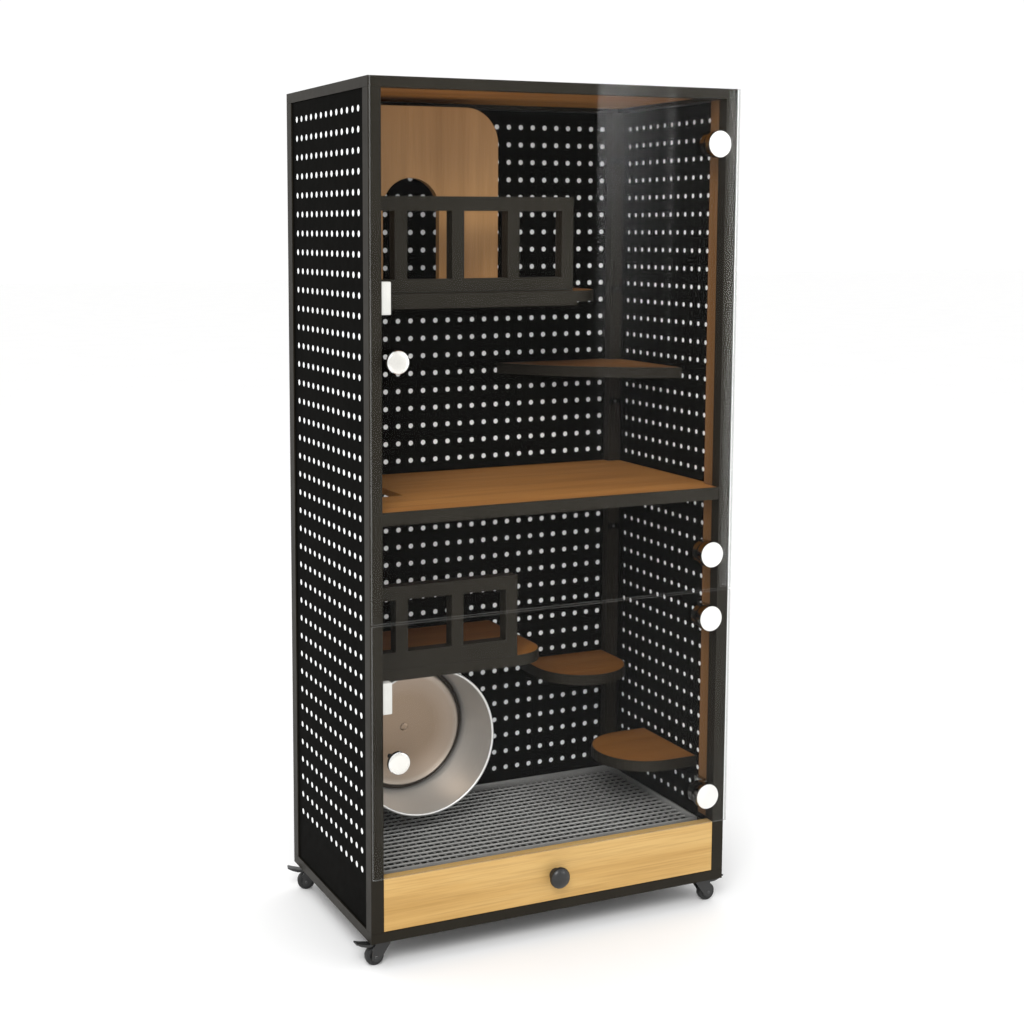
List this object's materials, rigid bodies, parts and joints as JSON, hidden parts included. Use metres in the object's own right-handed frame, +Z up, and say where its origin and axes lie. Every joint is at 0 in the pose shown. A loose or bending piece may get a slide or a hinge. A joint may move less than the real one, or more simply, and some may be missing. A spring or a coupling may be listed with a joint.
{
  "type": "hamster cage",
  "caption": "Tall steel-framed hamster cabinet on braked casters, with drilled panels, overlaid clear doors, wooden floors and shelves, a running wheel and a litter drawer",
  "frame": {"origin": "bottom centre of the whole object's box, on the floor under the casters", "axes": "+Z up, -Y towards the doors, +X to the viewer's right when facing the doors"},
  "size_m": [0.6324, 0.361, 1.274],
  "materials": {
    "frame_paint": "black powder coat, satin",
    "panel_paint": "black drilled sheet, matt",
    "wood": "medium brown board, satin lacquer",
    "house_wood": "lighter brown board, satin lacquer",
    "pale_wood": "pale pine, clear lacquer",
    "steel": "brushed, bare",
    "chrome": "polished",
    "clear": "clear, smooth",
    "white": "smooth",
    "black_plastic": "smooth, satin",
    "rubber": "matt"
  },
  "bodies": {
    "cabinet": {"post_front_left": "frame_paint", "post_front_right": "frame_paint", "post_rear_left": "frame_paint", "post_rear_right": "frame_paint", "top_frame": "frame_paint", "bottom_frame": "frame_paint", "mid_front_beam": "frame_paint", "upper_balcony_tray": "frame_paint", "lower_balcony_tray": "frame_paint", "corner_shelf_tray": "frame_paint", "mid_shelf_tray": "frame_paint", "low_shelf_tray": "frame_paint", "upper_railing": "frame_paint", "lower_railing": "frame_paint", "mesh_ledge": "frame_paint", "left_panel": "panel_paint", "right_panel": "panel_paint", "back_panel": "panel_paint", "ceiling_board": "wood", "mid_floor_board": "wood", "hinge_batten_lower": "wood", "hinge_batten_upper": "wood", "upper_balcony_board": "wood", "lower_balcony_board": "wood", "corner_shelf_board": "wood", "mid_shelf_board": "wood", "low_shelf_board": "wood", "house_front_board": "house_wood", "wheel_bracket": "steel", "mesh_floor": "steel", "upper_magnet_catch": "white", "upper_hinge_arm_top": "chrome", "upper_hinge_arm_bottom": "chrome", "lower_magnet_catch": "white", "lower_hinge_arm_top": "chrome", "lower_hinge_arm_bottom": "chrome"},
    "upper_door": {"upper_door_panel": "clear", "upper_hinge_cup_top": "chrome", "upper_hinge_cup_bottom": "chrome", "upper_door_knob": "chrome"},
    "lower_door": {"lower_door_panel": "clear", "lower_hinge_cup_top": "chrome", "lower_hinge_cup_bottom": "chrome", "lower_door_knob": "chrome"},
    "drawer": {"drawer_front": "pale_wood", "drawer_pan": "frame_paint", "drawer_knob": "black_plastic"},
    "wheel": {"running_wheel": "steel"},
    "front_left_swivel": {"caster_front_left_fork": "frame_paint"},
    "front_left_roller": {"caster_front_left_wheel": "rubber"},
    "front_left_brake": {"caster_front_left_brake_lever": "black_plastic"},
    "front_right_swivel": {"caster_front_right_fork": "frame_paint"},
    "front_right_roller": {"caster_front_right_wheel": "rubber"},
    "front_right_brake": {"caster_front_right_brake_lever": "black_plastic"},
    "rear_left_swivel": {"caster_rear_left_fork": "frame_paint"},
    "rear_left_roller": {"caster_rear_left_wheel": "rubber"},
    "rear_left_brake": {"caster_rear_left_brake_lever": "black_plastic"},
    "rear_right_swivel": {"caster_rear_right_fork": "frame_paint"},
    "rear_right_roller": {"caster_rear_right_wheel": "rubber"},
    "rear_right_brake": {"caster_rear_right_brake_lever": "black_plastic"}
  },
  "joints": [
    {"name": "upper_door_hinge", "type": "hinge", "parent": "cabinet", "child": "upper_door", "pos_m": [0.3005, -0.159, 0.892], "axis": [0, 0, 1], "range_deg": [0, 110]},
    {"name": "lower_door_hinge", "type": "hinge", "parent": "cabinet", "child": "lower_door", "pos_m": [0.3005, -0.159, 0.325], "axis": [0, 0, 1], "range_deg": [0, 110]},
    {"name": "drawer_slide", "type": "slide", "parent": "cabinet", "child": "drawer", "axis": [0, -1, 0], "range_m": [0, 0.25]},
    {"name": "wheel_spin", "type": "hinge", "parent": "cabinet", "child": "wheel", "pos_m": [-0.1433, 0.0985, 0.2735], "axis": [0, 1, 0], "continuous": true},
    {"name": "front_left_swivel", "type": "hinge", "parent": "cabinet", "child": "front_left_swivel", "pos_m": [-0.272, -0.1285, 0.042], "axis": [0, 0, 1], "continuous": true},
    {"name": "front_left_roll", "type": "hinge", "parent": "front_left_swivel", "child": "front_left_roller", "pos_m": [-0.286, -0.1285, 0.014], "axis": [0, -1, 0], "continuous": true},
    {"name": "front_left_brake", "type": "hinge", "parent": "front_left_swivel", "child": "front_left_brake", "pos_m": [-0.279, -0.1285, 0.033], "axis": [0, -1, 0], "range_deg": [0, 8]},
    {"name": "front_right_swivel", "type": "hinge", "parent": "cabinet", "child": "front_right_swivel", "pos_m": [0.272, -0.1285, 0.042], "axis": [0, 0, 1], "continuous": true},
    {"name": "front_right_roll", "type": "hinge", "parent": "front_right_swivel", "child": "front_right_roller", "pos_m": [0.286, -0.1285, 0.014], "axis": [0, 1, 0], "continuous": true},
    {"name": "front_right_brake", "type": "hinge", "parent": "front_right_swivel", "child": "front_right_brake", "pos_m": [0.279, -0.1285, 0.033], "axis": [0, 1, 0], "range_deg": [0, 8]},
    {"name": "rear_left_swivel", "type": "hinge", "parent": "cabinet", "child": "rear_left_swivel", "pos_m": [-0.272, 0.1615, 0.042], "axis": [0, 0, 1], "continuous": true},
    {"name": "rear_left_roll", "type": "hinge", "parent": "rear_left_swivel", "child": "rear_left_roller", "pos_m": [-0.28552, 0.16512, 0.014], "axis": [-0.2588, -0.9659, 0], "continuous": true},
    {"name": "rear_left_brake", "type": "hinge", "parent": "rear_left_swivel", "child": "rear_left_brake", "pos_m": [-0.27876, 0.16331, 0.033], "axis": [-0.2588, -0.9659, 0], "range_deg": [0, 8]},
    {"name": "rear_right_swivel", "type": "hinge", "parent": "cabinet", "child": "rear_right_swivel", "pos_m": [0.272, 0.1615, 0.042], "axis": [0, 0, 1], "continuous": true},
    {"name": "rear_right_roll", "type": "hinge", "parent": "rear_right_swivel", "child": "rear_right_roller", "pos_m": [0.28552, 0.16512, 0.014], "axis": [-0.2588, 0.9659, 0], "continuous": true},
    {"name": "rear_right_brake", "type": "hinge", "parent": "rear_right_swivel", "child": "rear_right_brake", "pos_m": [0.27876, 0.16331, 0.033], "axis": [-0.2588, 0.9659, 0], "range_deg": [0, 8]}
  ]
}
